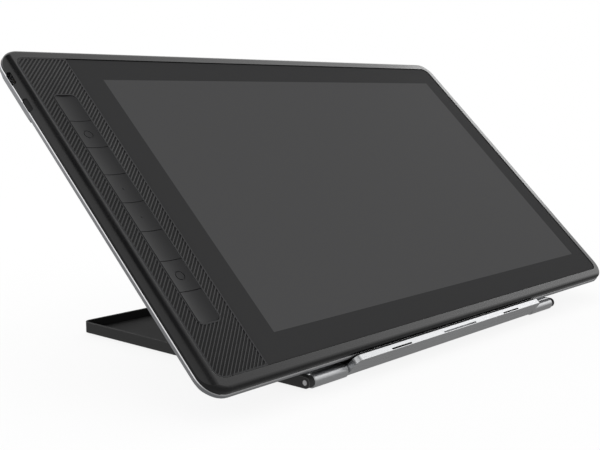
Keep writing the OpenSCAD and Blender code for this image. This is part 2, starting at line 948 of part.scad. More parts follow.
// Bright hinge barrel with its leaf and cut ends
module hinge_sleeve(side) {
    color("silver") at_hinge()
        difference() {
            translate([side * sleeve_x, 0, 0])
                hinge_leaf(sleeve_l, sleeve_r);
            along_x(base_w)
                circle(pin_r + run_fit);
            leaf_holes();
            for (end = [-1, 1])
                translate([side * sleeve_x + end * sleeve_l / 2, 0, 0])
                    rotate([0, -90 * end, 0])
                        rotate_extrude()
                            polygon([
                                [sleeve_r - sleeve_cut, 0],
                                [sleeve_r + sleeve_cut, 0],
                                [sleeve_r + sleeve_cut, sleeve_cut * 2],
                                [sleeve_r, sleeve_cut]
                            ]);
        }
}

// Extruded lip: hinge tube, leaf, and the flange under the tablet, whose front edge has three slots
module front_lip() {
    blend_r = lip_r - 0.06;
    reach = norm([lip_out, lip_front]);
    touch = atan2(lip_front, lip_out) + acos(blend_r / reach);
    slots = [[-lip_w * 0.3, 20], [0, 38], [lip_w * 0.3, 20]];
    color("silver") at_hinge()
        difference() {
            union() {
                hinge_leaf(lip_w, lip_r);
                along_x(lip_w)
                    polygon([
                        [0, 0],
                        [lip_in, 0],
                        [lip_in, lip_front],
                        [lip_out, lip_front],
                        [blend_r * cos(touch), blend_r * sin(touch)]
                    ]);
            }
            for (end = [-1, 1]) {
                translate([end * (lip_w / 2 - lip_bore_l / 2), 0, 0])
                    along_x(lip_bore_l + eps)
                        circle(pin_r + run_fit);
                // Round corner of the flange
                translate([end * (lip_w / 2 - lip_corner), 0, lip_front - lip_corner])
                    rotate([90, 0, 0])
                        linear_extrude(4 * lip_t, center = true)
                            difference() {
                                translate([min(end, 0) * (lip_corner + eps), 0])
                                    square(lip_corner + eps);
                                circle(lip_corner);
                            }
            }
            for (s = slots)
                translate([s[0] - s[1] / 2, lip_out + lip_slot_in - lip_slot_t / 2, lip_front - lip_slot_d])
                    cube([s[1], lip_slot_t, lip_slot_d + eps]);
            leaf_holes();
        }
}

// Rubber strip on the lip, under the tablet's lower edge
module lip_pad() {
    side_gap = 6;
    front_gap = 0.6;
    color("#222222") at_hinge()
        translate([side_gap - lip_w / 2, lip_in, back_w + taper / 2])
            cube([lip_w - 2 * side_gap, lip_pad_t, lip_front - front_gap - back_w - taper / 2]);
}

// Plate behind the tablet, with two lugs for the prop leg's pin
module holder_plate() {
    lug_x = prop_w / 2 + end_gap + lug_t / 2;
    color("#2e2e30") at_hinge()
        difference() {
            union() {
                translate([0, plate_v0 + plate_l / 2, plate_w0])
                    linear_extrude(plate_t)
                        rounded(plate_w, plate_l, plate_r);
                for (x = [-1, 1])
                    translate([x * lug_x, prop_pivot_v, 0])
                        along_x(lug_t) {
                            translate([0, prop_pivot_w])
                                circle(lug_r);
                            translate([-lug_r, prop_pivot_w])
                                square([2 * lug_r, plate_w0 - prop_pivot_w]);
                        }
            }
            translate([0, prop_pivot_v, prop_pivot_w])
                along_x(base_w)
                    circle(pin_r + fixed_fit);
            for (x = plate_screw_x)
                translate([x, plate_screw_v, plate_w0]) {
                    translate([0, 0, -eps])
                        cylinder(r = plate_screw_r + fixed_fit, h = plate_t + 2 * eps);
                    translate([0, 0, plate_t - sink_t])
                        cylinder(r1 = plate_screw_r + fixed_fit, r2 = sink_r + fixed_fit, h = sink_t);
                }
        }
}

// Soft strips on the plate that the tablet's back leans on
module holder_pads() {
    strip_w = 12;
    low_v = plate_v0 + 28;
    high_v = plate_v0 + plate_l - 28;
    strip_l = plate_w - 70;
    color("#222222") at_hinge()
        for (v = [low_v, high_v])
            translate([0, v, plate_w0 + plate_t])
                rotate([0, 0, 90])
                    linear_extrude(pad_t)
                        pill(strip_l, strip_w);
}

// Countersunk screws that hold the plate to the leaves
module plate_screws() {
    tip = 0.1;
    color("dimgray") at_hinge()
        for (x = plate_screw_x)
            translate([x, plate_screw_v, plate_w0]) {
                translate([0, 0, plate_t - sink_t])
                    cylinder(r1 = plate_screw_r, r2 = sink_r, h = sink_t);
                translate([0, 0, tip - leaf_t])
                    cylinder(r = plate_screw_r, h = leaf_t + plate_t - sink_t - tip);
            }
}

// The prop leg's frame: its pivot at the origin, Y down along the leg to its foot
module at_prop() {
    at_hinge()
        translate([0, prop_pivot_v, prop_pivot_w])
            rotate([-tilt - prop_lean, 0, 0])
                children();
}

// Sheet leg with a knuckle on the plate's lugs and a rolled foot on the tray's rails
module prop_leg() {
    color("#2e2e30") at_prop()
        difference() {
            union() {
                along_x(prop_w) {
                    circle(knuckle_r);
                    translate([prop_l, 0])
                        circle(prop_foot_r);
                    translate([0, -prop_t / 2])
                        square([prop_l, prop_t]);
                }
            }
            along_x(prop_w + 2 * eps)
                circle(pin_r + run_fit);
            translate([0, prop_l / 2, -knuckle_r])
                linear_extrude(2 * knuckle_r)
                    pill(prop_slot_l, prop_slot_w);
        }
}

// Pin of the prop leg, held in the plate's lugs
module prop_pin() {
    color("silver") at_hinge()
        translate([0, prop_pivot_v, prop_pivot_w])
            along_x(prop_w + 2 * (end_gap + lug_t))
                circle(pin_r);
}

back_cover();
front_frame();
cover_glass();
bonding_layer();
display_panel();
pen_sensor();
sensor_shield();
inner_frame();
main_board();
port_board();
usb_socket();
panel_cable();
sensor_cable();
key_panel();
key_board();
key_domes();
for (i = [1 : key_count])
    shortcut_key(i);
power_button();
rear_feet();
case_screws();
base_tray();
base_feet();
notch_rails();
hinge_pin(-1);  // hinge_pin_left
hinge_pin(1);  // hinge_pin_right
hinge_sleeve(-1);  // hinge_sleeve_left
hinge_sleeve(1);  // hinge_sleeve_right
front_lip();
lip_pad();
holder_plate();
holder_pads();
plate_screws();
prop_leg();
prop_pin();
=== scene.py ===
from math import cos, radians, sin

import bpy
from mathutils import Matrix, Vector


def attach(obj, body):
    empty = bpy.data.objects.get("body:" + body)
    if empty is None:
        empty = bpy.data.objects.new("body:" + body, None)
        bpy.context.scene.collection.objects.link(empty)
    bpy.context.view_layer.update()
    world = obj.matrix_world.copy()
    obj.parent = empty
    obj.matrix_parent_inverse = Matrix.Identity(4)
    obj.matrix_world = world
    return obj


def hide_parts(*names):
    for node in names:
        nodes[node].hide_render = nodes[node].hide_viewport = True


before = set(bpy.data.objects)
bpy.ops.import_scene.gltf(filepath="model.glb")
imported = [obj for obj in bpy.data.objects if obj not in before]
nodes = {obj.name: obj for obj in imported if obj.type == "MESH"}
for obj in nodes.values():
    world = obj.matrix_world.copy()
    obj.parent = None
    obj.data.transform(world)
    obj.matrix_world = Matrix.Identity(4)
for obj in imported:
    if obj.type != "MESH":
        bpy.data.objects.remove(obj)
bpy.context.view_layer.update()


# Base tray: a shallow tray pressed from one steel sheet, its front corners rolled into the hinge ears.
# It is powder coated in matt black, which leaves a soft orange-peel surface that dulls every reflection.
# A lighter grey is painted along the edges as a highlight, where the folded edges catch the light.
mm = 0.001


def linear(code):
    """Linear colour of an sRGB hex value."""
    channels = [int(code[i:i + 2], 16) / 255 for i in (1, 3, 5)]
    return [c / 12.92 if c <= 0.04045 else ((c + 0.055) / 1.055) ** 2.4 for c in channels] + [1.0]


def wire(finish, node, links):
    """Feeds a node's inputs from other nodes' outputs."""
    for key, output in links.items():
        finish.node_tree.links.new(output, node.inputs[key])


def add(finish, kind, settings, links=None):
    """Adds a node to a finish: lower-case settings are its properties, others its inputs, and links feed them."""
    made = finish.node_tree.nodes.new(kind)
    for key, value in settings.items():
        if isinstance(key, str) and key.islower():
            setattr(made, key, value)
        else:
            made.inputs[key].default_value = value
    wire(finish, made, links or {})
    return made


def new_finish(name, sockets):
    """A material with its shader's plain values set; returns the material and its shader."""
    finish = bpy.data.materials.new(name)
    finish.use_nodes = True
    shader = next(n for n in finish.node_tree.nodes if n.type == "BSDF_PRINCIPLED")
    for key, value in sockets.items():
        shader.inputs[key].default_value = value
    return finish, shader


def grain(finish, shader, dark, light, size, depth, shine, edge):
    """Grain of a size in mm: colour from dark to light, bump of a depth in mm, roughness from shine[0] to shine[1]
    in broad patches as left by handling, and edges that look as if rounded to a radius in mm. Returns the colour."""
    patch = 55
    place = add(finish, "ShaderNodeTexCoord", {})
    fine = add(finish, "ShaderNodeTexNoise", {"Scale": 1 / (size * mm), "Detail": 3.0, "Roughness": 0.55},
               {"Vector": place.outputs["Object"]})
    broad = add(finish, "ShaderNodeTexNoise", {"Scale": 1 / (patch * mm), "Detail": 2.0, "Distortion": 0.4},
                {"Vector": place.outputs["Object"]})
    tone = add(finish, "ShaderNodeMix", {"data_type": "RGBA", 6: linear(dark), 7: linear(light)},
               {0: fine.outputs["Fac"]})
    gloss = add(finish, "ShaderNodeMapRange",
                {"From Min": 0.3, "From Max": 0.7, "To Min": shine[0], "To Max": shine[1]},
                {"Value": broad.outputs["Fac"]})
    soft = add(finish, "ShaderNodeBevel", {"samples": 4, "Radius": edge * mm})
    bump = add(finish, "ShaderNodeBump", {"Strength": 0.5, "Distance": depth * mm},
               {"Height": fine.outputs["Fac"], "Normal": soft.outputs["Normal"]})
    wire(finish, shader, {
        "Base Color": tone.outputs[2], "Roughness": gloss.outputs["Result"], "Normal": bump.outputs["Normal"]
    })
    return tone.outputs[2]


def dress(finish, *names):
    """Gives CAD nodes their finish."""
    for name in names:
        nodes[name].material_slots[0].material = finish


# The peel is about 0.9 mm across, and hides all but broad reflections. The painted edge highlight shows within 0.7 mm
# of an edge.
edge_highlight_width = 0.7
powder_coat, coat_shader = new_finish("powder_coated_steel", {"IOR": 1.5, "Specular IOR Level": 0.03})
coat_tone = grain(powder_coat, coat_shader, "#2b2b2b", "#363636", size=0.9, depth=0.05, shine=(0.6, 0.74), edge=0.4)
round_edge = add(powder_coat, "ShaderNodeBevel", {"samples": 6, "Radius": edge_highlight_width * mm})
flat_face = add(powder_coat, "ShaderNodeNewGeometry", {})
turned_by = add(powder_coat, "ShaderNodeVectorMath", {"operation": "DOT_PRODUCT"},
                {0: round_edge.outputs["Normal"], 1: flat_face.outputs["True Normal"]})
# Painted highlight: the coat is coloured lighter where the rounded-edge normal turns away from the face.
painted_edge_highlight = add(powder_coat, "ShaderNodeMapRange", {"From Min": 0.98, "From Max": 0.8, "To Min": 0.0, "To Max": 1.0},
           {"Value": turned_by.outputs["Value"]})
highlit_edge_tone = add(powder_coat, "ShaderNodeMix", {"data_type": "RGBA", 7: linear("#5c5c5c")},
                {0: painted_edge_highlight.outputs["Result"], 6: coat_tone})
wire(powder_coat, coat_shader, {"Base Color": highlit_edge_tone.outputs[2]})
dress(powder_coat, "base_tray")


# Feet and pads: die-cut strips of black rubber, stuck under the tray, on the lip, on the plate and on the
# tablet's back. Cut rubber is matt with a fine skin and sheds nearly all gloss.
rubber, rubber_shader = new_finish("moulded_rubber", {"IOR": 1.52, "Specular IOR Level": 0.25})
grain(rubber, rubber_shader, "#141414", "#1f1f20", size=0.5, depth=0.04, shine=(0.72, 0.88), edge=0.3)
dress(rubber, "base_feet", "lip_pad", "holder_pads", "rear_feet")


# Notch rails: two moulded nylon strips welded to the tray's floor, with a row of round notches for the prop's foot.
# Nylon comes from the mould in satin black with slight flow marks, polished where the foot slides.
nylon, nylon_shader = new_finish("moulded_nylon", {"IOR": 1.53, "Specular IOR Level": 0.4})
grain(nylon, nylon_shader, "#1c1c1e", "#29292b", size=0.7, depth=0.03, shine=(0.38, 0.55), edge=0.2)
dress(nylon, "notch_rails")


# Hinge pins and the prop's pin: ground steel rods pressed through the ears and lugs.
# Centreless grinding leaves fine rings round the rod, so the highlight breaks up along its length.
# The key domes and the sensor's shield are of the same bright steel.
def tool_marks(finish, shader, dark, light, along, across, shine, strength, depth):
    """Marks of a tool, along X and across it in mm: colour from dark to light, roughness from shine[0] to shine[1],
    and bump of a strength and a depth in mm. Returns the colour and the bump."""
    place = add(finish, "ShaderNodeTexCoord", {})
    spread = add(finish, "ShaderNodeMapping",
                 {"Scale": (1 / (along * mm), 1 / (across * mm), 1 / (across * mm))},
                 {"Vector": place.outputs["Object"]})
    marks = add(finish, "ShaderNodeTexNoise", {"Scale": 1.0, "Detail": 3.0}, {"Vector": spread.outputs["Vector"]})
    tone = add(finish, "ShaderNodeMix", {"data_type": "RGBA", 6: linear(dark), 7: linear(light)},
               {0: marks.outputs["Fac"]})
    gloss = add(finish, "ShaderNodeMapRange", {"To Min": shine[0], "To Max": shine[1]},
                {"Value": marks.outputs["Fac"]})
    bump = add(finish, "ShaderNodeBump", {"Strength": strength, "Distance": depth * mm},
               {"Height": marks.outputs["Fac"]})
    wire(finish, shader, {
        "Base Color": tone.outputs[2], "Roughness": gloss.outputs["Result"], "Normal": bump.outputs["Normal"]
    })
    return tone.outputs[2], bump


ground_steel, pin_shader = new_finish("ground_steel", {"Metallic": 1.0})
tool_marks(ground_steel, pin_shader, "#e2e3e4", "#f3f3f4", along=0.5, across=25,
           shine=(0.38, 0.52), strength=0.25, depth=0.01)
dress(ground_steel, "hinge_pin_left", "hinge_pin_right", "prop_pin", "key_domes", "sensor_shield")


# Hinge barrels: two turned aluminium sleeves with a leaf under the plate, bright and clear anodised.
# The lathe leaves rings round the barrel, so its highlight is a soft streak along it.
turned, turned_shader = new_finish("turned_aluminium", {"Metallic": 1.0})
tool_marks(turned, turned_shader, "#cecfd1", "#e2e3e4", along=0.45, across=100 / 3,
           shine=(0.24, 0.36), strength=0.3, depth=0.012)
dress(turned, "hinge_sleeve_left", "hinge_sleeve_right")


# Front lip: an aluminium extrusion that carries the tablet's lower edge, with three slots milled in its front edge.
# It is brushed lengthwise and clear anodised: the strokes run along X and stretch the highlights across them.
# The two outer slots are painted dark inside, as shade in their depth.
lean = radians(43.6)
hinge_y, hinge_z = -98.55, 4.55
slot_x, slot_half_length = 64.32, 10.1
slot_y, slot_half_width = -1.9, 0.55
slot_mouth = 12.45


def leaned(finish, origin):
    """Places on a piece that leans with the tablet, from an origin: X across, Y up the slope and Z out of it."""
    place = add(finish, "ShaderNodeTexCoord", {})
    level = add(finish, "ShaderNodeMapping",
                {"vector_type": "TEXTURE", "Location": origin, "Rotation": (lean, 0, 0)},
                {"Vector": place.outputs["Object"]})
    return add(finish, "ShaderNodeSeparateXYZ", {}, {"Vector": level.outputs["Vector"]}).outputs


brushed, lip_shader = new_finish("brushed_aluminium", {"Metallic": 1.0})
# Strokes are 0.1 mm wide on the real lip; they are drawn 0.5 mm wide and 45 mm long, so that they show.
lip_tone, strokes = tool_marks(brushed, lip_shader, "#c8c9cb", "#d7d8d9", along=45, across=0.5,
                               shine=(0.22, 0.36), strength=0.25, depth=0.012)
soft_edge = add(brushed, "ShaderNodeBevel", {"samples": 4, "Radius": 0.25 * mm})
wire(brushed, strokes, {"Normal": soft_edge.outputs["Normal"]})
on_lip = leaned(brushed, Vector((0, hinge_y, hinge_z)) * mm)
from_middle = add(brushed, "ShaderNodeMath", {"operation": "ABSOLUTE"}, {0: on_lip["X"]})
along_slot = add(brushed, "ShaderNodeMath", {"operation": "COMPARE", 1: slot_x * mm, 2: slot_half_length * mm},
                 {0: from_middle.outputs["Value"]})
in_slot = add(brushed, "ShaderNodeMath", {"operation": "COMPARE", 1: slot_y * mm, 2: slot_half_width * mm},
              {0: on_lip["Y"]})
behind_face = add(brushed, "ShaderNodeMath", {"operation": "LESS_THAN", 1: slot_mouth * mm}, {0: on_lip["Z"]})
slot_walls = add(brushed, "ShaderNodeMath", {"operation": "MULTIPLY"},
                 {0: along_slot.outputs["Value"], 1: in_slot.outputs["Value"]})
# Painted shade: the walls of the two outer slots are coloured near black.
painted_slot_shade = add(brushed, "ShaderNodeMath", {"operation": "MULTIPLY"},
                {0: slot_walls.outputs["Value"], 1: behind_face.outputs["Value"]})
slot_shaded_tone = add(brushed, "ShaderNodeMix", {"data_type": "RGBA", 7: linear("#0c0c0d")},
                   {0: painted_slot_shade.outputs["Value"], 6: lip_tone})
wire(brushed, lip_shader, {"Base Color": slot_shaded_tone.outputs[2]})
dress(brushed, "front_lip")


# Holder plate, its screws and the prop leg: stamped aluminium sheet, blasted and dyed black before it is sealed.
# Dyed anodising keeps a faint metal sparkle under the black, with a satin sheen.
black_anodised, plate_shader = new_finish("black_anodised_sheet", {"IOR": 1.6, "Specular IOR Level": 0.45})
grain(black_anodised, plate_shader, "#1b1b1d", "#2a2a2c", size=0.4, depth=0.02, shine=(0.36, 0.5), edge=0.3)
dress(black_anodised, "holder_plate", "plate_screws", "prop_leg")


# Back cover: an aluminium tray, bead blasted and anodised dark grey, with a bright diamond cut along its front edge.
# The blast gives an even satin; the cut is bare metal and as bright as a mirror strip.
# On the left side, a thin dark line is painted along the cut's inner edge, as shade in the seam under the front frame.
back_up, back_out = 125.7, 3.2
back_middle = Vector((
    0,
    hinge_y + back_up * cos(lean) - back_out * sin(lean),
    hinge_z + back_up * sin(lean) + back_out * cos(lean)
)) * mm
cut_low, shade_line_low, left_side = 7.28, 7.66, -210
blast_size, handled_size = 0.45, 60
cover_metal, cover_shader = new_finish("blasted_aluminium", {"Metallic": 1.0})
on_cover = leaned(cover_metal, back_middle)
cut = add(cover_metal, "ShaderNodeMath", {"operation": "GREATER_THAN", 1: cut_low * mm}, {0: on_cover["Z"]})
inner_edge = add(cover_metal, "ShaderNodeMath", {"operation": "GREATER_THAN", 1: shade_line_low * mm}, {0: on_cover["Z"]})
on_left = add(cover_metal, "ShaderNodeMath", {"operation": "LESS_THAN", 1: left_side * mm}, {0: on_cover["X"]})
# Painted shade: the inner edge of the cut is coloured dark on the left side only.
painted_shade_line = add(cover_metal, "ShaderNodeMath", {"operation": "MULTIPLY"},
            {0: inner_edge.outputs["Value"], 1: on_left.outputs["Value"]})
place = add(cover_metal, "ShaderNodeTexCoord", {})
blast = add(cover_metal, "ShaderNodeTexNoise", {"Scale": 1 / (blast_size * mm), "Detail": 3.0},
            {"Vector": place.outputs["Object"]})
handled = add(cover_metal, "ShaderNodeTexNoise", {"Scale": 1 / (handled_size * mm), "Detail": 2.0},
              {"Vector": place.outputs["Object"]})
blast_tone = add(cover_metal, "ShaderNodeMix", {"data_type": "RGBA", 6: linear("#b0b1b4"), 7: linear("#bfc0c3")},
                 {0: blast.outputs["Fac"]})
cut_tone = add(cover_metal, "ShaderNodeMix", {"data_type": "RGBA", 7: linear("#f0f0f1")},
               {0: cut.outputs["Value"], 6: blast_tone.outputs[2]})
shade_line_tone = add(cover_metal, "ShaderNodeMix", {"data_type": "RGBA", 7: linear("#121213")},
                {0: painted_shade_line.outputs["Value"], 6: cut_tone.outputs[2]})
blast_gloss = add(cover_metal, "ShaderNodeMapRange",
                  {"From Min": 0.3, "From Max": 0.7, "To Min": 0.4, "To Max": 0.52},
                  {"Value": handled.outputs["Fac"]})
cut_gloss = add(cover_metal, "ShaderNodeMix", {"data_type": "FLOAT", 3: 0.16},
                {0: cut.outputs["Value"], 2: blast_gloss.outputs["Result"]})
soft_edge = add(cover_metal, "ShaderNodeBevel", {"samples": 4, "Radius": 0.3 * mm})
pitted = add(cover_metal, "ShaderNodeBump", {"Strength": 0.4, "Distance": 0.02 * mm},
             {"Height": blast.outputs["Fac"], "Normal": soft_edge.outputs["Normal"]})
wire(cover_metal, cover_shader, {
    "Base Color": shade_line_tone.outputs[2], "Roughness": cut_gloss.outputs[0], "Normal": pitted.outputs["Normal"]
})
dress(cover_metal, "back_cover")


# Case screws: eight steel pan heads in counterbores on the tablet's back, driven by a cross recess.
# One screw is modelled, its recess cut, and copied to the eight places.
head_radius, head_height, head_level, head_round = 1.8, 0.6, 0.4, 0.14
recess, recess_level = (1.9, 0.42, 0.6), 0.1
screws_apart, screws_up = 194.7, 107.7


def pick(*pieces):
    """Selects some pieces alone and makes the first one active."""
    bpy.ops.object.select_all(action="DESELECT")
    for piece in pieces:
        piece.select_set(True)
    bpy.context.view_layer.objects.active = pieces[0]


def settle(piece):
    """Puts a piece's place, turn and scale into its mesh."""
    pick(piece)
    bpy.ops.object.transform_apply(location=True, rotation=True, scale=True)


def block(size, at=(0, 0, 0), turn=0):
    """Adds a block of a size at a place, in mm, turned about Z by some degrees."""
    bpy.ops.object.select_all(action="DESELECT")
    bpy.ops.mesh.primitive_cube_add(size=1)
    made = bpy.context.object
    made.scale = [side * mm for side in size]
    made.location = [along * mm for along in at]
    made.rotation_euler = (0, 0, radians(turn))
    settle(made)
    return made


def into_tablet(piece, at):
    """Leans a piece modelled flat at the origin into the tablet, its own origin at a place in the tablet in mm."""
    piece.rotation_euler = (lean, 0, 0)
    u, v, w = at
    piece.location = back_middle + Vector((u, v * cos(lean) - w * sin(lean), v * sin(lean) + w * cos(lean))) * mm
    settle(piece)


def cut_with(piece, tool, how):
    """Cuts a piece with a tool, applies the cut and removes the tool."""
    cutter = piece.modifiers.new("cut", "BOOLEAN")
    cutter.object = tool
    cutter.operation = how
    cutter.solver = "EXACT"
    pick(piece)
    bpy.ops.object.modifier_apply(modifier="cut")
    bpy.data.objects.remove(tool)


def round_all(piece, radius, segments):
    """Rounds every edge of a piece to a radius in mm."""
    pick(piece)
    bpy.ops.object.mode_set(mode="EDIT")
    bpy.ops.mesh.select_all(action="SELECT")
    bpy.ops.mesh.bevel(offset=radius * mm, segments=segments)
    bpy.ops.object.mode_set(mode="OBJECT")


def coat(piece, finish):
    """Gives a new piece its one finish."""
    piece.data.materials.clear()
    piece.data.materials.append(finish)


bpy.ops.object.select_all(action="DESELECT")
bpy.ops.mesh.primitive_cylinder_add(vertices=32, radius=head_radius * mm, depth=head_height * mm,
                                    location=(0, 0, head_level * mm))
screw = bpy.context.object
round_all(screw, head_round, 3)
for turn in (0, 90):
    cut_with(screw, block(recess, (0, 0, recess_level), turn), "DIFFERENCE")
screw.name = "case_screw"
screws = []
for column in (-1, 0, 1):
    for row in (-1, 0, 1):
        if column or row:
            copy = screw.copy()
            copy.data = screw.data.copy()
            bpy.context.collection.objects.link(copy)
            into_tablet(copy, (column * screws_apart, row * screws_up, 0))
            screws.append(copy)
bpy.data.objects.remove(screw)
pick(*screws)
bpy.ops.object.join()
case_screw_heads = bpy.context.object
case_screw_heads.name = "case_screw_heads"
bpy.ops.object.shade_smooth_by_angle(angle=radians(35))
zinc, zinc_shader = new_finish("zinc_plated_steel", {"Metallic": 1.0})
grain(zinc, zinc_shader, "#6f7072", "#8d8e90", size=0.4, depth=0.02, shine=(0.28, 0.4), edge=0.08)
coat(case_screw_heads, zinc)
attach(case_screw_heads, "tablet")
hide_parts("case_screws")


# Boards: the main board, the port board, the key board and the pen sensor, glass fibre under green solder resist.
# Copper tracks stand under the resist as a net of slightly raised, lighter lines.
track_net = 3.2
resist, resist_shader = new_finish("green_solder_resist", {"IOR": 1.55, "Roughness": 0.32})
place = add(resist, "ShaderNodeTexCoord", {})
net = add(resist, "ShaderNodeTexVoronoi",
          {"feature": "DISTANCE_TO_EDGE", "Scale": 1 / (track_net * mm), "Randomness": 0.6},
          {"Vector": place.outputs["Object"]})
tracks = add(resist, "ShaderNodeMapRange", {"From Min": 0.03, "From Max": 0.09, "To Min": 1.0, "To Max": 0.0},
             {"Value": net.outputs["Distance"]})
resist_tone = add(resist, "ShaderNodeMix", {"data_type": "RGBA", 6: linear("#12472a"), 7: linear("#2c7446")},
                  {0: tracks.outputs["Result"]})
raised = add(resist, "ShaderNodeBump", {"Strength": 0.5, "Distance": 0.03 * mm}, {"Height": tracks.outputs["Result"]})
wire(resist, resist_shader, {"Base Color": resist_tone.outputs[2], "Normal": raised.outputs["Normal"]})
dress(resist, "main_board", "port_board", "key_board", "pen_sensor")


# Flat cables: copper strips between two films of polyimide, from the panel and the sensor to the main board.
# The film is clear amber, and the strips show through it as lighter bars along the cable.
bar_scale = 6.4
polyimide, film_shader = new_finish("polyimide_film", {"IOR": 1.7, "Roughness": 0.28})
place = add(polyimide, "ShaderNodeTexCoord", {})
bars = add(polyimide, "ShaderNodeTexWave",
           {"bands_direction": "X", "Scale": 1 / (bar_scale * mm), "Distortion": 0.0},
           {"Vector": place.outputs["Object"]})
film_tone = add(polyimide, "ShaderNodeMix", {"data_type": "RGBA", 6: linear("#7a4212"), 7: linear("#b9742c")},
                {0: bars.outputs["Fac"]})
wire(polyimide, film_shader, {"Base Color": film_tone.outputs[2]})
dress(polyimide, "panel_cable", "sensor_cable")


# Inner frame: a stamped aluminium sheet that carries the display and closes the skirt of the front frame.
# It is left as rolled, with a faint grain from the rollers.
rolled, rolled_shader = new_finish("rolled_aluminium", {"Metallic": 1.0})
grain(rolled, rolled_shader, "#8f9093", "#a9aaad", size=0.8, depth=0.02, shine=(0.34, 0.48), edge=0.2)
dress(rolled, "inner_frame")


# Display stack: the panel with its matt polariser, and the clear adhesive that bonds it to the glass.
# Both are hidden behind the glass; the polariser has a fine matt haze and the adhesive a faint tint.
polariser, polariser_shader = new_finish("matt_polariser", {"IOR": 1.49, "Specular IOR Level": 0.4})
grain(polariser, polariser_shader, "#232325", "#2b2b2d", size=0.3, depth=0.01, shine=(0.45, 0.55), edge=0.1)
dress(polariser, "display_panel")
adhesive, adhesive_shader = new_finish("clear_adhesive", {"IOR": 1.47, "Specular IOR Level": 0.4})
grain(adhesive, adhesive_shader, "#c9c9c4", "#d6d6d2", size=2.0, depth=0.01, shine=(0.12, 0.2), edge=0.1)
dress(adhesive, "bonding_layer")


# Cover glass: one sheet of etched glass with a dark border printed on its back, round the picture area.
# The etch scatters reflections into an even haze; the picture area is the dark panel seen through it.
picture_x, glass_level = 19.4, 11.5
picture_width, picture_height = 349.6, 196.7
etch_size = 0.35
etched_glass, glass_shader = new_finish(
    "etched_glass", {"IOR": 1.5, "Specular IOR Level": 0.004, "Roughness": 0.45})
picture_middle = back_middle + Vector((picture_x, -glass_level * sin(lean), glass_level * cos(lean))) * mm
on_glass = leaned(etched_glass, picture_middle)
side = add(etched_glass, "ShaderNodeMath", {"operation": "ABSOLUTE"}, {0: on_glass["X"]})
rise = add(etched_glass, "ShaderNodeMath", {"operation": "ABSOLUTE"}, {0: on_glass["Y"]})
in_width = add(etched_glass, "ShaderNodeMath", {"operation": "LESS_THAN", 1: picture_width / 2 * mm},
               {0: side.outputs["Value"]})
in_height = add(etched_glass, "ShaderNodeMath", {"operation": "LESS_THAN", 1: picture_height / 2 * mm},
                {0: rise.outputs["Value"]})
picture = add(etched_glass, "ShaderNodeMath", {"operation": "MULTIPLY"},
              {0: in_width.outputs["Value"], 1: in_height.outputs["Value"]})
place = add(etched_glass, "ShaderNodeTexCoord", {})
etch = add(etched_glass, "ShaderNodeTexNoise", {"Scale": 1 / (etch_size * mm), "Detail": 2.0},
           {"Vector": place.outputs["Object"]})
border_tone = add(etched_glass, "ShaderNodeMix", {"data_type": "RGBA", 6: linear("#363637"), 7: linear("#393939")},
                  {0: etch.outputs["Fac"]})
picture_tone = add(etched_glass, "ShaderNodeMix", {"data_type": "RGBA", 6: linear("#4a4a4b"), 7: linear("#4e4e4e")},
                   {0: etch.outputs["Fac"]})
glass_tone = add(etched_glass, "ShaderNodeMix", {"data_type": "RGBA"},
                 {0: picture.outputs["Value"], 6: border_tone.outputs[2], 7: picture_tone.outputs[2]})
haze = add(etched_glass, "ShaderNodeBump", {"Strength": 0.15, "Distance": 0.008 * mm}, {"Height": etch.outputs["Fac"]})
wire(etched_glass, glass_shader, {"Base Color": glass_tone.outputs[2], "Normal": haze.outputs["Normal"]})
dress(etched_glass, "cover_glass")


# Key panel: a moulded panel round the key column, its field covered with diagonal ridges between smooth lips.
# The field between the ridges is painted dark, as shade between them; the lips and ridge tops are a lighter satin.
field_left, field_right, field_half, field_corner = -209.25, -175.0, 115.3, 5.6
column_x, column_y = -192.225, 0.5
column_size, column_corner = (17.1, 169.9), 4.15
left_lip_in, left_lip_half = 7.7, 0.4
ridge_pitch, ridge_top, field_level, ridge_slant = 1.98, 11.99, 11.75, 45
ridge_size, ridge_round, first_ridge, ridge_count = (60, 0.72, 0.34), 0.2, -137, 97
panel_plastic, panel_shader = new_finish("moulded_abs_panel", {"IOR": 1.53, "Specular IOR Level": 0.1})
satin_tone = grain(panel_plastic, panel_shader, "#313132", "#373738",
                   size=0.5, depth=0.03, shine=(0.4, 0.52), edge=0.1)
on_panel = leaned(panel_plastic, back_middle)
above_field = add(panel_plastic, "ShaderNodeMath", {"operation": "GREATER_THAN", 1: (field_level + 0.1) * mm},
                  {0: on_panel["Z"]})
# The inner half of the long lip on the keys' left is painted dark too, as shade cast by the keys.
left_lip_painted_shade = add(panel_plastic, "ShaderNodeMath",
               {"operation": "COMPARE", 1: (column_x - left_lip_in) * mm, 2: left_lip_half * mm},
               {0: on_panel["X"]})
# Painted shade: the field and the inner half of the left lip take a dark colour, the rest the satin grain.
painted_lit_parts = add(panel_plastic, "ShaderNodeMath", {"operation": "SUBTRACT", "use_clamp": True},
             {0: above_field.outputs["Value"], 1: left_lip_painted_shade.outputs["Value"]})
lit_and_shaded_panel_tone = add(panel_plastic, "ShaderNodeMix", {"data_type": "RGBA", 6: linear("#151516")},
                 {0: painted_lit_parts.outputs["Value"], 7: satin_tone})
wire(panel_plastic, panel_shader, {"Base Color": lit_and_shaded_panel_tone.outputs[2]})
dress(panel_plastic, "key_panel")


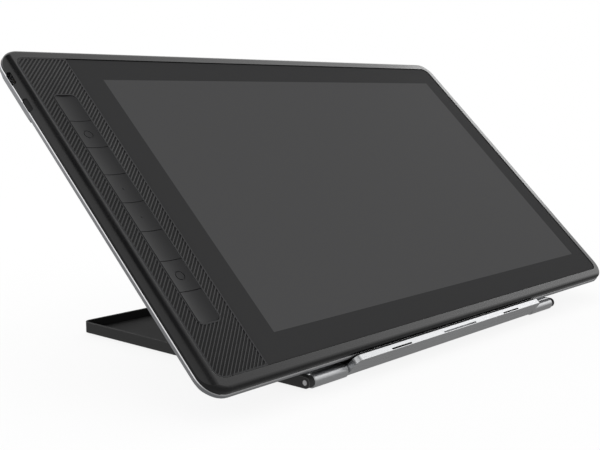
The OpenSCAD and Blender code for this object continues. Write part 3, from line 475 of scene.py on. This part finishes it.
def round_edges(piece, radius, segments, which):
    """Rounds the edges of a piece for whose two ends which(ends) is true, to a radius in mm."""
    pick(piece)
    bpy.ops.object.mode_set(mode="EDIT")
    bpy.ops.mesh.select_mode(type="EDGE")
    bpy.ops.mesh.select_all(action="DESELECT")
    bpy.ops.object.mode_set(mode="OBJECT")
    for edge in piece.data.edges:
        edge.select = which([piece.data.vertices[i].co for i in edge.vertices])
    bpy.ops.object.mode_set(mode="EDIT")
    bpy.ops.mesh.bevel(offset=radius * mm, segments=segments)
    bpy.ops.object.mode_set(mode="OBJECT")


def repeat(piece, count, step):
    """Repeats a piece in a row, each copy a step in mm from the last."""
    row = piece.modifiers.new("row", "ARRAY")
    row.count = count
    row.use_relative_offset = False
    row.use_constant_offset = True
    row.constant_offset_displace = [along * mm for along in step]
    pick(piece)
    bpy.ops.object.modifier_apply(modifier="row")


def plate_tool(middle, size, radius, which):
    """A block over a part of the key panel, in mm, its upright edges rounded where which(x) is true."""
    tool = block((*size, 4), (*middle, field_level))
    round_edges(tool, radius, 10, lambda ends: abs(ends[0].z - ends[1].z) > mm and which(ends[0].x))
    return tool


field_middle = (field_left + field_right) / 2
ridges = block(ridge_size)
round_edges(ridges, ridge_round, 2,
            lambda ends: all(end.z > 0 for end in ends) and abs(ends[0].x - ends[1].x) > mm)
ridges.rotation_euler = (0, 0, radians(ridge_slant))
ridges.location = (field_middle * mm, first_ridge * mm, (ridge_top - ridge_size[2] / 2) * mm)
settle(ridges)
repeat(ridges, ridge_count, (0, ridge_pitch / cos(radians(ridge_slant)), 0))
cut_with(ridges, plate_tool((field_middle, 0), (field_right - field_left, 2 * field_half), field_corner,
                            lambda x: x < field_middle * mm), "INTERSECT")
cut_with(ridges, plate_tool((column_x, column_y), column_size, column_corner, lambda x: True), "DIFFERENCE")
ridges.name = "key_panel_ridges"
into_tablet(ridges, (0, 0, 0))
ridge_plastic, ridge_shader = new_finish("moulded_abs_ridges", {"IOR": 1.53, "Specular IOR Level": 0.4})
grain(ridge_plastic, ridge_shader, "#19191a", "#202021", size=0.5, depth=0.02, shine=(0.34, 0.46), edge=0.08)
coat(ridges, ridge_plastic)
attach(ridges, "tablet")


# Shortcut keys: eight moulded caps, dished across, over snap domes; two have a ring and two a raised dot.
# They are satin ABS, with a fine spark-eroded grain that spreads the light over the dish.
key_plastic, key_shader = new_finish("satin_abs_keys", {"IOR": 1.53, "Specular IOR Level": 0.14})
grain(key_plastic, key_shader, "#232324", "#29292a", size=0.4, depth=0.015, shine=(0.4, 0.48), edge=0.2)
dress(key_plastic, *("shortcut_key_%d" % i for i in range(1, 9)))


# Front frame: one moulding with a flat rim and a rolled left side, glued over the cover's edge round the glass.
# It is painted in satin black, so the rim and the roll carry long soft reflections with a faint orange peel.
satin_paint, paint_shader = new_finish("satin_black_paint", {"IOR": 1.5, "Specular IOR Level": 0.5})
grain(satin_paint, paint_shader, "#0e0e0f", "#131314", size=0.8, depth=0.006, shine=(0.2, 0.26), edge=0.25)
dress(satin_paint, "front_frame")


# Power button: a moulded pill in the left side, over its switch, with the same satin grain as the keys.
# It sits a little below the side, so that it is found by touch and not pressed by chance.
button_plastic, button_shader = new_finish("satin_abs_button", {"IOR": 1.53, "Specular IOR Level": 0.15})
grain(button_plastic, button_shader, "#151516", "#1b1b1c", size=0.4, depth=0.015, shine=(0.32, 0.42), edge=0.15)
dress(button_plastic, "power_button")


# Socket: a drawn steel shell with a tongue, and twelve gold-plated contacts on each face of the tongue.
# One contact is modelled and repeated at the half-millimetre pitch of such sockets.
contact_size, contact_round, contact_count, contact_pitch = (3.0, 0.26, 0.06), 0.02, 12, 0.5
first_contact, face_to_face = -2.75, 0.72
tongue_x, tongue_y, tongue_level = -218.7 + 3 + 2.8, 101, 8.85
drawn_steel, shell_shader = new_finish("drawn_steel", {"Metallic": 1.0})
grain(drawn_steel, shell_shader, "#bcbdbf", "#d2d3d5", size=0.5, depth=0.01, shine=(0.33, 0.43), edge=0.06)
dress(drawn_steel, "usb_socket")
contacts = block(contact_size)
round_all(contacts, contact_round, 1)
contacts.location = (0, first_contact * mm, face_to_face / 2 * mm)
settle(contacts)
repeat(contacts, contact_count, (0, contact_pitch, 0))
repeat(contacts, 2, (0, 0, -face_to_face))
contacts.name = "socket_contacts"
into_tablet(contacts, (tongue_x, tongue_y, tongue_level))
gold, gold_shader = new_finish("gold_plating", {"Metallic": 1.0})
grain(gold, gold_shader, "#c79a45", "#e0b765", size=0.4, depth=0.005, shine=(0.2, 0.3), edge=0.02)
coat(contacts, gold)
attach(contacts, "tablet")


# Studio: a pale floor that runs out into a white surround, with softboxes round it, two flags and a bright card.
# Flags and card are seen only in reflections: a dark strip overhead draws the dark line down the rolled left side,
# a grey sheet on the floor tones down the undersides, and the card on the right brightens the right rim.
near_floor, far_floor = 0.45, 1.1
white = (1, 1, 1, 1)
bpy.ops.object.select_all(action="DESELECT")
bpy.ops.mesh.primitive_grid_add(x_subdivisions=4, y_subdivisions=4, size=24)
floor = bpy.context.object
floor.name = "studio_floor"
paper, paper_shader = new_finish(
    "white_paper", {"Roughness": 0.9, "Specular IOR Level": 0.0, "Base Color": linear("#f7f7f7")})
place = add(paper, "ShaderNodeTexCoord", {})
reach = add(paper, "ShaderNodeVectorMath", {"operation": "LENGTH"}, {0: place.outputs["Object"]})
runs_out = add(paper, "ShaderNodeMapRange", {"From Min": near_floor, "From Max": far_floor, "To Min": 0.86},
               {"Value": reach.outputs["Value"]})
glow = add(paper, "ShaderNodeEmission", {"Color": white, "Strength": 1.0})
blend = add(paper, "ShaderNodeMixShader", {},
            {0: runs_out.outputs["Result"], 1: paper_shader.outputs[0], 2: glow.outputs[0]})
paper_out = next(n for n in paper.node_tree.nodes if n.type == "OUTPUT_MATERIAL")
wire(paper, paper_out, {"Surface": blend.outputs[0]})
floor.data.materials.append(paper)

for name, middle, size, turn, brightness in (
    ("flag_overhead", (0.32, -0.45, 2.0), (0.85, 1.4), 0, 0.0),
    ("flag_on_floor", (0, 0, 0.0003), (8, 8), 0, 0.24),
    ("card_on_right", (1.93, 0.0, 1.1), (0.84, 0.26), -34, 6.0)
):
    bpy.ops.object.select_all(action="DESELECT")
    bpy.ops.mesh.primitive_grid_add(x_subdivisions=2, y_subdivisions=2, size=1, location=middle)
    flag = bpy.context.object
    flag.name = name
    flag.scale = (*size, 1)
    flag.rotation_euler = (0, 0, radians(turn))
    settle(flag)
    felt, felt_shader = new_finish(name + "_felt", {
        "Roughness": 1.0, "Specular IOR Level": 0.0, "Base Color": linear("#050505"),
        "Emission Color": white, "Emission Strength": brightness
    })
    flag.data.materials.append(felt)
    for kind in ("camera", "diffuse", "shadow", "transmission", "volume_scatter"):
        setattr(flag, "visible_" + kind, False)

world = bpy.data.worlds.new("white_surround")
bpy.context.scene.world = world
world.use_nodes = True
surround = next(n for n in world.node_tree.nodes if n.type == "BACKGROUND")
surround.inputs["Color"].default_value = white
ray = add(world, "ShaderNodeLightPath", {})
clear = add(world, "ShaderNodeMath", {"operation": "MAXIMUM"},
            {0: ray.outputs["Is Camera Ray"], 1: ray.outputs["Is Transmission Ray"]})
towards = add(world, "ShaderNodeTexCoord", {})
parts = add(world, "ShaderNodeSeparateXYZ", {}, {"Vector": towards.outputs["Generated"]})
# The room in front of the object, and near the horizon, is dimmer than the white surround behind and above it,
# and its right side is brighter.
room = add(world, "ShaderNodeMapRange", {"From Min": -0.8, "From Max": 0.0, "To Min": 0.4, "To Max": 1.0},
           {"Value": parts.outputs["Y"]})
bright_side = add(world, "ShaderNodeMapRange", {"From Min": 0.55, "From Max": 0.8, "To Min": 1.0, "To Max": 1.6},
                  {"Value": parts.outputs["X"]})
dusk = add(world, "ShaderNodeMapRange", {"From Min": 0.0, "From Max": 0.4, "To Min": 0.5, "To Max": 1.0},
           {"Value": parts.outputs["Z"]})
dimmed = add(world, "ShaderNodeMath", {"operation": "MULTIPLY"},
             {0: room.outputs["Result"], 1: dusk.outputs["Result"]})
mirrored = add(world, "ShaderNodeMath", {"operation": "MULTIPLY"},
               {0: dimmed.outputs["Value"], 1: bright_side.outputs["Result"]})
lit = add(world, "ShaderNodeMix", {"data_type": "FLOAT", 2: 0.86},
          {0: ray.outputs["Is Glossy Ray"], 3: mirrored.outputs["Value"]})
strength = add(world, "ShaderNodeMix", {"data_type": "FLOAT", 3: 1.0},
               {0: clear.outputs["Value"], 2: lit.outputs[0]})
wire(world, surround, {"Strength": strength.outputs[0]})

lit_point = Vector((0, 0, 0.1))
for name, spot, width, power in (
    ("softbox_left", (-1.9, 0.5, 1.1), 1.3, 10),
    ("softbox_right", (1.9, 0.82, 1.6), 1.4, 9),
    ("softbox_back", (0.2, 2.0, 1.5), 1.4, 6)
):
    lamp = bpy.data.lights.new(name, "AREA")
    lamp.shape = "SQUARE"
    lamp.size = width
    lamp.energy = power
    box = bpy.data.objects.new(name, lamp)
    bpy.context.collection.objects.link(box)
    box.location = spot
    box.rotation_euler = (lit_point - Vector(spot)).to_track_quat("-Z", "Y").to_euler()
    box.visible_glossy = False

# The camera stands where the photograph was taken from, with its focal length in pixels of the 600-pixel frame.
focal_pixels, frame_pixels, sensor = 999.3, 600, 36
lens = bpy.data.cameras.new("view")
lens.sensor_width = sensor
lens.lens = focal_pixels / frame_pixels * sensor
lens.clip_start = 0.01
camera = bpy.data.objects.new("view", lens)
bpy.context.collection.objects.link(camera)
camera.location = Vector((-541.0, -447.5, 162.4)) * mm
camera.rotation_euler = Vector((0.7435, 0.6556, -0.1320)).to_track_quat("-Z", "Y").to_euler()
bpy.context.scene.camera = camera
bpy.context.scene.view_settings.view_transform = "Standard"
